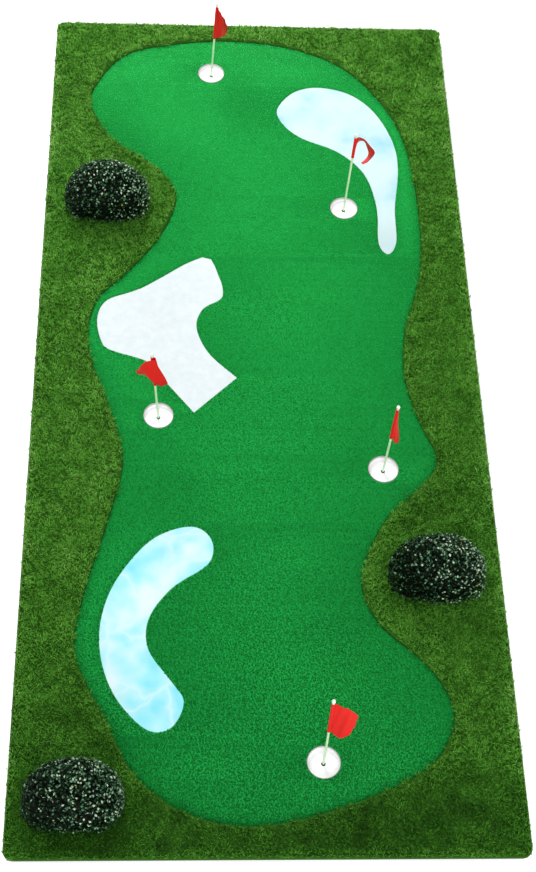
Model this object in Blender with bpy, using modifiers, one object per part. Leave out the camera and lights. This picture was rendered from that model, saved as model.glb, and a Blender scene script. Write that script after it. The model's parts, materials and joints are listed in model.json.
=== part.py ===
"""Practice putting mat: foam boards, a putting green with inlaid hazards, five cups and flagsticks, three bushes.

Metres, +Z up. The origin is under the middle of the mat, X runs across it and +Y points to its far end.
"""
import math

import bmesh
import bpy
from mathutils import Matrix, Vector

# Overall size of the mat and of its layers, from the ground up.
MAT_WIDTH = 1.60
MAT_LENGTH = 3.50
CORNER_RADIUS = 0.030
PAD_INSET = 0.010
PAD_TOP = 0.025
TAPE_THICKNESS = 0.0006
BACKING_BOTTOM = 0.0262
GREEN_BACKING_THICKNESS = 0.0020
ROUGH_BACKING_THICKNESS = 0.0028
INLAY_DEPTH = 0.0025
GREEN_TOP = 0.037
ROUGH_TOP = 0.058
GAP = 0.0003

# Joints between boards, turf strips and cut-outs.
PAD_SEAM_Y = 0.58
ROUGH_SEAM_Y = 1.40
GREEN_TO_ROUGH_GAP = 0.0010
INLAY_GAP = 0.0006
TAPE_HALF_WIDTH = 0.030
OUTLINE_STEPS = 3

# Cups: a regulation hole is 108 mm across.
HOLE_RADIUS = 0.0545
HOLE_SIDES = 24
CUP_OUTER_RADIUS = 0.0532
CUP_INNER_RADIUS = 0.0510
CUP_RIM_Z = 0.0355
CUP_FLOOR_TOP = 0.0193
CUP_FLOOR_BOTTOM = 0.0165
BOSS_RADIUS = 0.0120
BOSS_BOTTOM = 0.0040
SOCKET_RADIUS = 0.0068
SOCKET_BOTTOM = 0.0070
GROMMET_OUTER_RADIUS = 0.0065
GROMMET_INNER_RADIUS = 0.0046
GROMMET_TOP = 0.0196
CUP_SIDES = 24

# Flagsticks, in heights along the stick from the middle of its socket.
SOCKET_MIDDLE_Z = 0.0135
FERRULE_RADIUS = 0.0030
FERRULE_BOTTOM = -0.0057
FERRULE_TOP = 0.0067
FERRULE_CHAMFER = 0.0010
POLE_RADIUS = 0.0040
POLE_TOP = 0.3980
KNOB_RADIUS = 0.0060
KNOB_TOP = 0.4105
STICK_SIDES = 12

# Pennants: a cloth that tapers from its sleeve to its free edge.
HOIST_TOP = 0.3920
SLEEVE_RADIUS = 0.0054
SLEEVE_OPENING = math.radians(40.0)
SLEEVE_POINTS = 8
CLOTH_THICKNESS = 0.0010
CLOTH_STEPS = 3
CLOTH_ROWS = 3

# Bushes: a dome of leaves on a moulded plate, with a stake into the foam.
BUSH_HALF_WIDTH = 0.165
BUSH_HALF_DEPTH = 0.118
BUSH_TOP = 0.250
BUSH_BELLY_Z = 0.100
PLATE_RATIO = 0.55
PLATE_HEIGHT = 0.0067
STAKE_RADIUS = 0.0040
STAKE_TIP_Z = 0.0060
STAKE_POINT = 0.0100
STAKE_HOLE_RADIUS = 0.0050
STAKE_HOLE_SIDES = 12
BUSH_SIDES = 20
BUSH_ARC_STEPS = 6

# Outlines on the mat, clockwise. A third value "corner" keeps a point sharp.
GREEN = [
    (-0.640, 1.370), (-0.520, 1.570), (-0.300, 1.645), (-0.050, 1.665), (0.200, 1.620),
    (0.400, 1.505), (0.550, 1.290), (0.620, 1.050), (0.640, 0.720), (0.620, 0.450),
    (0.550, 0.210), (0.530, 0.000), (0.570, -0.200), (0.620, -0.350), (0.560, -0.460),
    (0.420, -0.600), (0.330, -0.820), (0.380, -0.980), (0.530, -1.130), (0.600, -1.300),
    (0.500, -1.470), (0.250, -1.585), (-0.030, -1.650), (-0.250, -1.610), (-0.410, -1.490),
    (-0.500, -1.320), (-0.610, -1.090), (-0.590, -0.870), (-0.520, -0.600), (-0.475, -0.360),
    (-0.530, -0.140), (-0.600, 0.060), (-0.615, 0.200), (-0.580, 0.340), (-0.500, 0.430),
    (-0.370, 0.610), (-0.300, 0.810), (-0.370, 0.960), (-0.550, 1.110), (-0.630, 1.250),
]
WATER_FAR = [
    (0.105, 1.290), (0.170, 1.380), (0.270, 1.413), (0.400, 1.380), (0.500, 1.280), (0.565, 1.120),
    (0.575, 0.970), (0.550, 0.780), (0.545, 0.620), (0.510, 0.555), (0.475, 0.610), (0.478, 0.780),
    (0.440, 0.950), (0.340, 1.065), (0.200, 1.135), (0.125, 1.210),
]
WATER_NEAR = [
    (-0.240, -0.620), (-0.170, -0.670), (-0.180, -0.760), (-0.300, -0.850), (-0.375, -0.960),
    (-0.375, -1.070), (-0.300, -1.180), (-0.260, -1.250), (-0.300, -1.335), (-0.380, -1.340),
    (-0.480, -1.230), (-0.530, -1.090), (-0.530, -0.950), (-0.480, -0.810), (-0.370, -0.670),
]
BUNKER = [
    (-0.585, 0.240), (-0.550, 0.325), (-0.420, 0.385), (-0.200, 0.530), (-0.140, 0.450), (-0.125, 0.345),
    (-0.195, 0.290), (-0.220, 0.205), (-0.175, 0.090), (-0.075, -0.015, "corner"),
    (-0.230, -0.165, "corner"), (-0.360, 0.000), (-0.405, 0.055), (-0.530, 0.100), (-0.567, 0.140),
]

# Each hole's place, and how far its stick's top leans out of upright.
HOLES = [
    ((-0.161, 1.483), (0.015, -0.013)),
    ((0.350, 0.779), (0.011, 0.027)),
    ((-0.355, -0.177), (-0.019, -0.005)),
    ((0.430, -0.391), (0.004, 0.011)),
    ((0.176, -1.448), (-0.001, 0.051)),
]
BUSHES = [(-0.562, 0.782), (0.576, -0.809), (-0.596, -1.570)]

# How each cloth hangs: stations from the sleeve to the free edge, as its upper and lower hem points,
# in metres from the top of the sleeve. The second cloth's sleeve is pushed up into gathers.
PENNANTS = [
    [
        ((0.005, 0.000, 0.000), (0.005, 0.000, -0.170)),
        ((0.010, -0.012, -0.009), (0.024, 0.010, -0.175)),
        ((0.021, -0.022, -0.021), (0.042, 0.046, -0.203)),
        ((0.036, -0.010, -0.060), (0.049, 0.078, -0.226)),
        ((0.049, 0.010, -0.114), (0.055, 0.098, -0.236)),
    ],
    [
        ((0.005, 0.000, 0.000), (0.005, 0.000, -0.100)),
        ((0.015, -0.004, 0.006), (0.014, 0.030, -0.055)),
        ((0.035, -0.006, -0.007), (0.040, 0.066, -0.079)),
        ((0.063, 0.000, -0.043), (0.060, 0.070, -0.110)),
        ((0.079, 0.002, -0.079), (0.068, 0.066, -0.139)),
        ((0.061, -0.014, -0.105), (0.058, 0.048, -0.158)),
        ((0.034, -0.030, -0.103), (0.040, 0.030, -0.156)),
    ],
    [
        ((0.005, 0.000, 0.000), (0.005, 0.000, -0.170)),
        ((0.010, -0.005, 0.002), (0.025, -0.008, -0.168)),
        ((0.009, -0.013, 0.000), (0.044, -0.014, -0.141)),
        ((-0.006, -0.016, 0.004), (0.002, -0.024, -0.119)),
        ((-0.030, -0.020, -0.010), (-0.028, -0.008, -0.102)),
        ((-0.058, -0.024, -0.048), (-0.058, 0.022, -0.133)),
    ],
    [
        ((0.005, 0.000, 0.000), (0.005, 0.000, -0.170)),
        ((0.007, 0.014, -0.043), (0.020, 0.004, -0.212)),
        ((0.015, 0.028, -0.088), (0.036, 0.028, -0.234)),
        ((0.015, 0.044, -0.133), (0.033, 0.052, -0.253)),
        ((0.015, 0.060, -0.173), (0.033, 0.074, -0.267)),
    ],
    [
        ((0.005, 0.000, 0.000), (0.005, 0.000, -0.170)),
        ((0.023, -0.010, 0.000), (0.022, -0.012, -0.183)),
        ((0.044, -0.022, 0.004), (0.040, -0.026, -0.165)),
        ((0.061, -0.018, -0.020), (0.060, -0.022, -0.145)),
        ((0.079, -0.008, -0.063), (0.079, 0.008, -0.157)),
    ],
]

COLOURS = {
    "foam": ((0.030, 0.032, 0.030), 0.95, 0.0),
    "tape": ((0.30, 0.30, 0.28), 0.55, 0.0),
    "backing": ((0.055, 0.060, 0.050), 0.85, 0.0),
    "green_turf": ((0.010, 0.235, 0.060), 0.90, 0.0),
    "rough_turf": ((0.140, 0.215, 0.030), 0.95, 0.0),
    "sand": ((0.88, 0.91, 0.95), 0.90, 0.0),
    "water": ((0.58, 0.88, 0.95), 0.35, 0.0),
    "cup": ((0.90, 0.91, 0.91), 0.30, 0.0),
    "rubber": ((0.020, 0.020, 0.022), 0.60, 0.0),
    "pole": ((0.70, 0.76, 0.66), 0.30, 0.0),
    "metal": ((0.45, 0.46, 0.48), 0.30, 1.0),
    "cloth": ((0.72, 0.018, 0.014), 0.70, 0.0),
    "leaves": ((0.060, 0.130, 0.035), 0.80, 0.0),
    "bush_plastic": ((0.018, 0.050, 0.020), 0.60, 0.0),
}


def clear_scene():
    for thing in list(bpy.data.objects):
        bpy.data.objects.remove(thing, do_unlink=True)


def new_collection(name):
    collection = bpy.data.collections.new(name)
    bpy.context.scene.collection.children.link(collection)
    return collection


def material(name):
    found = bpy.data.materials.get(name)
    if found:
        return found
    colour, roughness, metallic = COLOURS[name]
    made = bpy.data.materials.new(name)
    made.use_nodes = True
    shader = made.node_tree.nodes["Principled BSDF"]
    shader.inputs["Base Color"].default_value = (*colour, 1.0)
    shader.inputs["Roughness"].default_value = roughness
    shader.inputs["Metallic"].default_value = metallic
    return made


def place(name, mesh, collection, finish=None):
    thing = bpy.data.objects.new(name, mesh)
    collection.objects.link(thing)
    if finish:
        mesh.materials.clear()
        mesh.materials.append(material(finish))
    return thing


def catmull_rom(before, start, end, after, t):
    """A point between start and end on the smooth curve through four points."""
    return 0.5 * (
        2.0 * start
        + (end - before) * t
        + (2.0 * before - 5.0 * start + 4.0 * end - after) * t ** 2
        + (3.0 * start - before - 3.0 * end + after) * t ** 3
    )


def smooth_outline(marks):
    """A closed curve through the marks, with a break in direction at each corner."""
    points = [Vector(mark[:2]) for mark in marks]
    sharp = [len(mark) == 3 for mark in marks]
    count = len(points)
    outline = []
    for index in range(count):
        start = points[index]
        end = points[(index + 1) % count]
        before = 2.0 * start - end if sharp[index] else points[index - 1]
        after = 2.0 * end - start if sharp[(index + 1) % count] else points[(index + 2) % count]
        for step in range(OUTLINE_STEPS):
            outline.append(catmull_rom(before, start, end, after, step / OUTLINE_STEPS))
    return outline


def offset_outline(outline, distance):
    """The clockwise outline moved outward by the distance, or inward where it is negative."""
    moved = []
    for index, point in enumerate(outline):
        along = (outline[(index + 1) % len(outline)] - outline[index - 1]).normalized()
        moved.append(point + Vector((-along.y, along.x)) * distance)
    return moved


def circle(centre, radius, sides):
    turns = [2.0 * math.pi * (side + 0.5) / sides for side in range(sides)]
    return [Vector((centre[0] + radius * math.cos(turn), centre[1] + radius * math.sin(turn))) for turn in turns]


def rounded_rectangle(low, high, radius, corner_steps=4):
    corners = [(high[0] - radius, high[1] - radius, 0.0), (low[0] + radius, high[1] - radius, 90.0),
               (low[0] + radius, low[1] + radius, 180.0), (high[0] - radius, low[1] + radius, 270.0)]
    outline = []
    for x, y, first in corners:
        for step in range(corner_steps + 1):
            turn = math.radians(first + 90.0 * step / corner_steps)
            outline.append(Vector((x + radius * math.cos(turn), y + radius * math.sin(turn))))
    return outline


def plate_mesh(name, outlines, bottom, top):
    """A flat plate between two heights: the first outline is its edge, the others are holes through it."""
    curve = bpy.data.curves.new(name + "_outline", "CURVE")
    curve.dimensions = "2D"
    curve.fill_mode = "BOTH"
    curve.extrude = (top - bottom) / 2.0
    for outline in outlines:
        spline = curve.splines.new("POLY")
        spline.points.add(len(outline) - 1)
        for point, spot in zip(spline.points, outline):
            point.co = (spot.x, spot.y, 0.0, 1.0)
        spline.use_cyclic_u = True
    flat = bpy.data.objects.new(name + "_outline", curve)
    bpy.context.scene.collection.objects.link(flat)
    bpy.context.view_layer.update()
    evaluated = flat.evaluated_get(bpy.context.evaluated_depsgraph_get())
    mesh = bpy.data.meshes.new_from_object(evaluated)
    bpy.data.objects.remove(flat, do_unlink=True)
    bpy.data.curves.remove(curve)
    mesh.name = name
    mesh.transform(Matrix.Translation((0.0, 0.0, (top + bottom) / 2.0)))
    shape = bmesh.new()
    shape.from_mesh(mesh)
    bmesh.ops.remove_doubles(shape, verts=shape.verts, dist=0.00001)
    bmesh.ops.recalc_face_normals(shape, faces=shape.faces)
    shape.to_mesh(mesh)
    shape.free()
    return mesh


def add_box(name, low, high, collection):
    bpy.ops.mesh.primitive_cube_add(size=1.0)
    box = bpy.context.object
    box.name = name
    for other in box.users_collection:
        other.objects.unlink(box)
    collection.objects.link(box)
    size = [high[axis] - low[axis] for axis in range(3)]
    middle = [(high[axis] + low[axis]) / 2.0 for axis in range(3)]
    box.data.transform(Matrix.Translation(middle) @ Matrix.Diagonal((*size, 1.0)))
    box.hide_render = True
    box.display_type = "WIRE"
    return box


def turned(name, profile, sides, collection, finish):
    """A turned piece about local Z, from a profile of (radius, height) that runs down its outer side."""
    mesh = bpy.data.meshes.new(name)
    edges = [(index, index + 1) for index in range(len(profile) - 1)]
    mesh.from_pydata([(radius, 0.0, height) for radius, height in profile], edges, [])
    thing = place(name, mesh, collection, finish)
    screw = thing.modifiers.new("turn", "SCREW")
    screw.steps = sides
    screw.render_steps = sides
    screw.use_merge_vertices = True
    screw.merge_threshold = 0.00001
    screw.use_smooth_shade = True
    return thing


def build_pads(parts, stake_holes, cup_holes):
    half_width = MAT_WIDTH / 2.0 - PAD_INSET
    half_length = MAT_LENGTH / 2.0 - PAD_INSET
    spans = {
        "base_pad_front": (-half_length, -PAD_SEAM_Y - GAP / 2.0),
        "base_pad_middle": (-PAD_SEAM_Y + GAP / 2.0, PAD_SEAM_Y - GAP / 2.0),
        "base_pad_back": (PAD_SEAM_Y + GAP / 2.0, half_length),
    }
    for name, (start, end) in spans.items():
        edge = [Vector((-half_width, start)), Vector((-half_width, end)),
                Vector((half_width, end)), Vector((half_width, start))]
        holes = [hole for hole in stake_holes + cup_holes if start < hole[0].y < end]
        place(name, plate_mesh(name, [edge] + holes, 0.0, PAD_TOP), parts, "foam")


def build_rough(parts, cutters, green, stake_holes):
    """The long-pile border and its backing: a frame around the green, cut into four strips."""
    edge = rounded_rectangle((-MAT_WIDTH / 2.0, -MAT_LENGTH / 2.0), (MAT_WIDTH / 2.0, MAT_LENGTH / 2.0), CORNER_RADIUS)
    outlines = [edge, offset_outline(green, GREEN_TO_ROUGH_GAP)] + stake_holes
    backing_top = BACKING_BOTTOM + ROUGH_BACKING_THICKNESS
    layers = {
        "rough_turf": (backing_top + GAP, ROUGH_TOP, "rough_turf"),
        "rough_backing": (BACKING_BOTTOM, backing_top, "backing"),
    }
    reach = MAT_LENGTH
    near = ROUGH_SEAM_Y - GAP / 2.0
    past = ROUGH_SEAM_Y + GAP / 2.0
    boxes = {
        "far": ((-reach, past, -1.0), (reach, reach, 1.0)),
        "near": ((-reach, -reach, -1.0), (reach, -past, 1.0)),
        "left": ((-reach, -near, -1.0), (0.0, near, 1.0)),
        "right": ((0.0, -near, -1.0), (reach, near, 1.0)),
    }
    for side, (low, high) in boxes.items():
        cutter = add_box("cut_" + side, low, high, cutters)
        for layer, (bottom, top, finish) in layers.items():
            name = layer + "_" + side
            strip = place(name, plate_mesh(name, outlines, bottom, top), parts, finish)
            keep = strip.modifiers.new("keep", "BOOLEAN")
            keep.operation = "INTERSECT"
            keep.object = cutter


def build_green(parts, green, cup_holes):
    """The short-pile green with its backing, and the hazards let into it."""
    inlays = {
        "water_far": (smooth_outline(WATER_FAR), "water"),
        "water_near": (smooth_outline(WATER_NEAR), "water"),
        "bunker": (smooth_outline(BUNKER), "sand"),
    }
    outlines = [green] + [outline for outline, _ in inlays.values()] + cup_holes
    backing_top = BACKING_BOTTOM + GREEN_BACKING_THICKNESS
    pile_bottom = backing_top + GAP
    place("putting_backing", plate_mesh("putting_backing", outlines, BACKING_BOTTOM, backing_top), parts, "backing")
    place("putting_turf", plate_mesh("putting_turf", outlines, pile_bottom, GREEN_TOP), parts, "green_turf")
    for name, (outline, finish) in inlays.items():
        edge = [offset_outline(outline, -INLAY_GAP)]
        top = GREEN_TOP - INLAY_DEPTH
        place(name + "_backing", plate_mesh(name + "_backing", edge, BACKING_BOTTOM, backing_top), parts, "backing")
        place(name + "_inlay", plate_mesh(name + "_inlay", edge, pile_bottom, top), parts, finish)


def build_tape(parts, green):
    """The tape under the joint between green and border."""
    outlines = [offset_outline(green, TAPE_HALF_WIDTH), offset_outline(green, -TAPE_HALF_WIDTH)]
    bottom = PAD_TOP + GAP
    place("seam_tape", plate_mesh("seam_tape", outlines, bottom, bottom + TAPE_THICKNESS), parts, "tape")


def build_cup(number, spot, parts):
    cup_profile = [
        (0.0, SOCKET_BOTTOM), (SOCKET_RADIUS, SOCKET_BOTTOM), (SOCKET_RADIUS, CUP_FLOOR_TOP),
        (CUP_INNER_RADIUS, CUP_FLOOR_TOP), (CUP_INNER_RADIUS, CUP_RIM_Z), (CUP_OUTER_RADIUS, CUP_RIM_Z),
        (CUP_OUTER_RADIUS, 0.0), (CUP_INNER_RADIUS, 0.0), (CUP_INNER_RADIUS, CUP_FLOOR_BOTTOM),
        (BOSS_RADIUS, CUP_FLOOR_BOTTOM), (BOSS_RADIUS, BOSS_BOTTOM), (0.0, BOSS_BOTTOM),
    ]
    cup = turned(f"cup_{number}", cup_profile, CUP_SIDES, parts, "cup")
    cup.location = (*spot, 0.0)
    grommet_bottom = SOCKET_BOTTOM + GAP
    grommet_profile = [
        (GROMMET_INNER_RADIUS, GROMMET_TOP), (GROMMET_OUTER_RADIUS, GROMMET_TOP),
        (GROMMET_OUTER_RADIUS, grommet_bottom), (GROMMET_INNER_RADIUS, grommet_bottom),
        (GROMMET_INNER_RADIUS, GROMMET_TOP),
    ]
    grommet = turned(f"grommet_{number}", grommet_profile, STICK_SIDES, parts, "rubber")
    grommet.location = (*spot, 0.0)


def lean_rotation(lean):
    """The turn that tips local Z towards the lean."""
    upright = Vector((0.0, 0.0, 1.0))
    rise = math.sqrt(KNOB_TOP ** 2 - lean[0] ** 2 - lean[1] ** 2)
    return upright.rotation_difference(Vector((lean[0], lean[1], rise)))


def build_stick(number, spot, lean, parts):
    """A flagstick: pole, ferrule and knob, all children of an empty on the stick's axis."""
    axis = bpy.data.objects.new(f"stick_{number}_axis", None)
    parts.objects.link(axis)
    axis.location = (*spot, SOCKET_MIDDLE_Z)
    axis.rotation_mode = "QUATERNION"
    axis.rotation_quaternion = lean_rotation(lean)
    pole_bottom = FERRULE_TOP + GAP
    knob_bottom = POLE_TOP + GAP
    knob_middle = (knob_bottom + KNOB_TOP) / 2.0
    profiles = {
        "ferrule": ([
            (0.0, FERRULE_TOP), (FERRULE_RADIUS, FERRULE_TOP), (FERRULE_RADIUS, FERRULE_BOTTOM + FERRULE_CHAMFER),
            (FERRULE_RADIUS - FERRULE_CHAMFER, FERRULE_BOTTOM), (0.0, FERRULE_BOTTOM)], "metal"),
        "pole": ([
            (0.0, POLE_TOP), (POLE_RADIUS, POLE_TOP), (POLE_RADIUS, pole_bottom), (0.0, pole_bottom)], "pole"),
        "knob": ([
            (0.0, KNOB_TOP), (KNOB_RADIUS * 0.6, KNOB_TOP - 0.001), (KNOB_RADIUS, knob_middle),
            (KNOB_RADIUS * 0.75, knob_bottom), (0.0, knob_bottom)], "pole"),
    }
    for kind, (profile, finish) in profiles.items():
        piece = turned(f"{kind}_{number}", profile, STICK_SIDES, parts, finish)
        piece.parent = axis
    return axis


def hem(stations, row):
    """The cloth's stations at one height between its hems, as a smooth run of points."""
    marks = [Vector(upper).lerp(Vector(lower), row) for upper, lower in stations]
    marks = [2.0 * marks[0] - marks[1]] + marks + [2.0 * marks[-1] - marks[-2]]
    run = []
    for index in range(1, len(marks) - 2):
        for step in range(CLOTH_STEPS):
            run.append(catmull_rom(*marks[index - 1:index + 3], step / CLOTH_STEPS))
    run.append(marks[-2])
    return run


def build_pennant(number, stations, axis, parts):
    """A cloth whose edge wraps round the pole as a sleeve and then hangs in its folds."""
    points = []
    hoist = -stations[0][1][2]
    for row_index in range(CLOTH_ROWS + 1):
        row = row_index / CLOTH_ROWS
        height = HOIST_TOP - hoist * row
        for step in range(SLEEVE_POINTS):
            turn = SLEEVE_OPENING + (2.0 * math.pi - SLEEVE_OPENING) * step / SLEEVE_POINTS
            points.append(Vector((SLEEVE_RADIUS * math.cos(turn), SLEEVE_RADIUS * math.sin(turn), height)))
        hung = hem(stations, row)
        hung[0] = Vector((SLEEVE_RADIUS, 0.0, -hoist * row))
        points += [spot + Vector((0.0, 0.0, HOIST_TOP)) for spot in hung]
    across = len(points) // (CLOTH_ROWS + 1)
    faces = []
    for row_index in range(CLOTH_ROWS):
        for column in range(across - 1):
            first = row_index * across + column
            faces.append((first, first + across, first + across + 1, first + 1))
    mesh = bpy.data.meshes.new(f"pennant_{number}")
    mesh.from_pydata(points, [], faces)
    mesh.shade_smooth()
    cloth = place(f"pennant_{number}", mesh, parts, "cloth")
    cloth.parent = axis
    thickness = cloth.modifiers.new("thickness", "SOLIDIFY")
    thickness.thickness = CLOTH_THICKNESS
    thickness.offset = 0.0


def build_bush(number, spot, parts):
    """A bush: the dome of leaves, the plate under it and the stake, all standing on the border's pile."""
    bottom = ROUGH_TOP + GAP
    plate_radius = BUSH_HALF_WIDTH * PLATE_RATIO
    recess_radius = plate_radius + 0.004
    recess_top = bottom + PLATE_HEIGHT + GAP
    arc = []
    for step in range(BUSH_ARC_STEPS + 1):
        turn = math.radians(90.0 - 90.0 * step / BUSH_ARC_STEPS)
        arc.append((BUSH_HALF_WIDTH * math.cos(turn), BUSH_BELLY_Z + (BUSH_TOP - BUSH_BELLY_Z) * math.sin(turn)))
    arc[0] = (0.0, BUSH_TOP)
    foliage_profile = arc + [
        (BUSH_HALF_WIDTH * 0.90, bottom), (recess_radius, bottom), (recess_radius, recess_top), (0.0, recess_top)]
    plate_profile = [
        (0.0, bottom + PLATE_HEIGHT), (plate_radius, bottom + PLATE_HEIGHT), (plate_radius, bottom), (0.0, bottom)]
    stake_profile = [
        (0.0, bottom - GAP), (STAKE_RADIUS, bottom - GAP), (STAKE_RADIUS, STAKE_TIP_Z + STAKE_POINT),
        (0.0, STAKE_TIP_Z)]
    depth_ratio = BUSH_HALF_DEPTH / BUSH_HALF_WIDTH
    foliage = turned(f"bush_{number}_foliage", foliage_profile, BUSH_SIDES, parts, "leaves")
    plate = turned(f"bush_{number}_plate", plate_profile, BUSH_SIDES, parts, "bush_plastic")
    stake = turned(f"bush_{number}_stake", stake_profile, STICK_SIDES, parts, "bush_plastic")
    for piece in (foliage, plate):
        piece.scale = (1.0, depth_ratio, 1.0)
    for piece in (foliage, plate, stake):
        piece.location = (*spot, 0.0)


def main():
    clear_scene()
    parts = new_collection("practice_putting_mat")
    cutters = new_collection("cutters")
    green = smooth_outline(GREEN)
    cup_holes = [circle(spot, HOLE_RADIUS, HOLE_SIDES) for spot, _ in HOLES]
    stake_holes = [circle(spot, STAKE_HOLE_RADIUS, STAKE_HOLE_SIDES) for spot in BUSHES]
    build_pads(parts, stake_holes, cup_holes)
    build_tape(parts, green)
    build_rough(parts, cutters, green, stake_holes)
    build_green(parts, green, cup_holes)
    for number, (spot, lean) in enumerate(HOLES, start=1):
        build_cup(number, spot, parts)
        axis = build_stick(number, spot, lean, parts)
        build_pennant(number, PENNANTS[number - 1], axis, parts)
    for number, spot in enumerate(BUSHES, start=1):
        build_bush(number, spot, parts)
    bpy.context.view_layer.update()


main()
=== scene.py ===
import json
import math

import bmesh
import bpy
import numpy as np
from mathutils import Matrix, Vector


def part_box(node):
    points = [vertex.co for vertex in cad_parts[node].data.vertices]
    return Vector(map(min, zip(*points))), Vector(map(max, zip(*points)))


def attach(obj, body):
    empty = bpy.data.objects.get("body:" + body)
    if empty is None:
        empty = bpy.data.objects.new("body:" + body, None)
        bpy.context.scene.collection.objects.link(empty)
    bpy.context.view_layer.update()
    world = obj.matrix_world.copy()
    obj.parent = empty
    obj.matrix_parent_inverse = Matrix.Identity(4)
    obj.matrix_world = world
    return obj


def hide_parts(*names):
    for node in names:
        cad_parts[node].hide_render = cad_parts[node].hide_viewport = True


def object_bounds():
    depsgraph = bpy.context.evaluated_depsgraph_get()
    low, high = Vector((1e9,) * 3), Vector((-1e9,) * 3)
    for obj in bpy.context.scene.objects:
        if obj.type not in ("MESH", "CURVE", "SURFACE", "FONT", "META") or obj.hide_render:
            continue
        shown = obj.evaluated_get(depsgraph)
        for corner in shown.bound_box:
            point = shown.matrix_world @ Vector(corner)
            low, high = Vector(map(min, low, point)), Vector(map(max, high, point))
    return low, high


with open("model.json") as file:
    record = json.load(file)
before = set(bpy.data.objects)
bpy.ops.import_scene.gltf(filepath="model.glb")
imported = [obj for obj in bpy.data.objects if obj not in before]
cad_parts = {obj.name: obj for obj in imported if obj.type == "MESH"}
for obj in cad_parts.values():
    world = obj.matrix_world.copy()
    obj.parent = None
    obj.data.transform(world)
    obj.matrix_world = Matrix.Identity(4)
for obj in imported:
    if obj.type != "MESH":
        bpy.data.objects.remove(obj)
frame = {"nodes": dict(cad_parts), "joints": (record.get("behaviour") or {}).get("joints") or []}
CAD_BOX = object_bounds()
MAT_HALF_LENGTH = (CAD_BOX[1][1] - CAD_BOX[0][1]) / 2.0

# Heights above the floor, in metres.
GREEN_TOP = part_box("putting_turf")[1][2]
GREEN_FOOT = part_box("putting_turf")[0][2]
ROUGH_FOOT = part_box("rough_turf_far")[0][2]
ROUGH_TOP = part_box("rough_turf_far")[1][2]
GREEN_THATCH_Z = GREEN_TOP - 0.0032
ROUGH_THATCH_Z = ROUGH_TOP - 0.0170

# The green: spacing and size of its tufts, the brushed rows, the pale bands across it, and where its mesh is cut.
GREEN_ROW = 0.0060
GREEN_STEP = 0.0056
GREEN_TUFT_LENGTH = (0.0052, 0.0074)
GREEN_TUFT_WIDTH = (0.0046, 0.0066)
BRUSHED_ROW = 0.0272
GREEN_BANDS = (0.05, -0.76, -0.92, -1.53)
BAND_WIDTH = 0.009
GREEN_CUTS = (-0.58, 0.58)

# Round each inlay the green is darkened by painted shade, and holes smaller than this are the cups. The inlays' and
# the foam boards' edges are rounded.
INLAY_PAINTED_SHADE_WIDTH = 0.0055
INLAY_MIN_AREA = 0.02
INLAY_ROUNDING = 0.0008
PAD_ROUNDING = 0.0012

# The border: spacing of its tufts, size of the blades, and the short blades down the mat's side.
ROUGH_STEP = 0.0108
ROUGH_BLADES_PER_TUFT = 3
ROUGH_SPIKES_PER_TUFT = 5
ROUGH_BLADE_LENGTH = 0.0225
ROUGH_BLADE_WIDTH = 0.0028
TUFT_SPREAD = 0.0060
FRINGE_STEP = 0.0016
FRINGE_LENGTH = (0.009, 0.016)
MAT_CORNER_RADIUS = 0.030
EDGE_SPILL = 0.0015

# The border has a painted light rim along the mat's outer edge, and painted shade beyond a line near its near end.
PAINTED_RIM_WIDTH = 0.020
NEAR_PAINTED_SHADE_Y = -1.45
NEAR_PAINTED_SHADE_FADE = 0.15

# A corner of an outline, and an edge of a turned mesh, stay sharp where they turn by more than these.
CORNER_TURN = math.radians(38.0)
SHARP_EDGE = math.radians(40.0)
NOISE_CELLS = 97

# Each palette is a row of tones across the map, from shaded to bright, in linear colour.
GREEN_TONES = [
    (0.0060, 0.195, 0.029), (0.0080, 0.265, 0.041), (0.0110, 0.345, 0.057), (0.0140, 0.420, 0.073),
    (0.0185, 0.490, 0.089), (0.0250, 0.560, 0.108), (0.0370, 0.635, 0.133), (0.0750, 0.710, 0.185),
]
ROUGH_TONES = [
    (0.022, 0.090, 0.007), (0.042, 0.165, 0.013), (0.066, 0.250, 0.020), (0.094, 0.335, 0.030),
    (0.126, 0.415, 0.042), (0.176, 0.495, 0.062), (0.250, 0.580, 0.100), (0.370, 0.670, 0.190),
]
LEAF_TONES = [
    (0.0015, 0.006, 0.0015), (0.003, 0.014, 0.004), (0.010, 0.038, 0.012), (0.026, 0.090, 0.036),
    (0.080, 0.200, 0.100), (0.220, 0.390, 0.230), (0.520, 0.700, 0.480), (0.350, 0.430, 0.060),
]
TONE_HALF_WIDTH = 0.004
RED = (0.780, 0.018, 0.014)
DARK_RED = (0.640, 0.010, 0.008)
PALE_WATER = (0.54, 0.69, 0.70)

# Bushes: their leaves and twigs, the height of the upright foot, how much of its width each bush fills, and
# the powers that shape the dome's side and the squarer foot on the near side.
BUSHES = (1, 2, 3)
BUSH_LEAVES = 4600
BUSH_TWIGS = 90
BUSH_SKIRT = 0.045
BUSH_SPREAD = (1.0, 0.98, 0.94)
DOME_POWER = 1.7
FOOT_POWER = 3.1
LEAF_LENGTH = (0.009, 0.014)
LEAF_WIDTH_SHARE = (0.50, 0.68)
TWIG_WIDTH = 0.005

# The cups: the floor and its underside, the height at which the painted shade on the wall is at its darkest, the
# wall with its draft and rounding, and the boss and socket in the middle that hold the grommet.
CUP_FLOOR_Z = 0.0193
CUP_UNDER_Z = 0.0165
CUP_PAINTED_SHADE_Z = 0.0330
CUP_WALL = 0.0022
CUP_DRAFT = 0.0006
CUP_FILLET = 0.0016
CUP_BOSS_RADIUS = 0.0120
CUP_BOSS_FOOT_Z = 0.0040
CUP_SOCKET_RADIUS = 0.0068
CUP_SOCKET_Z = 0.0070

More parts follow.
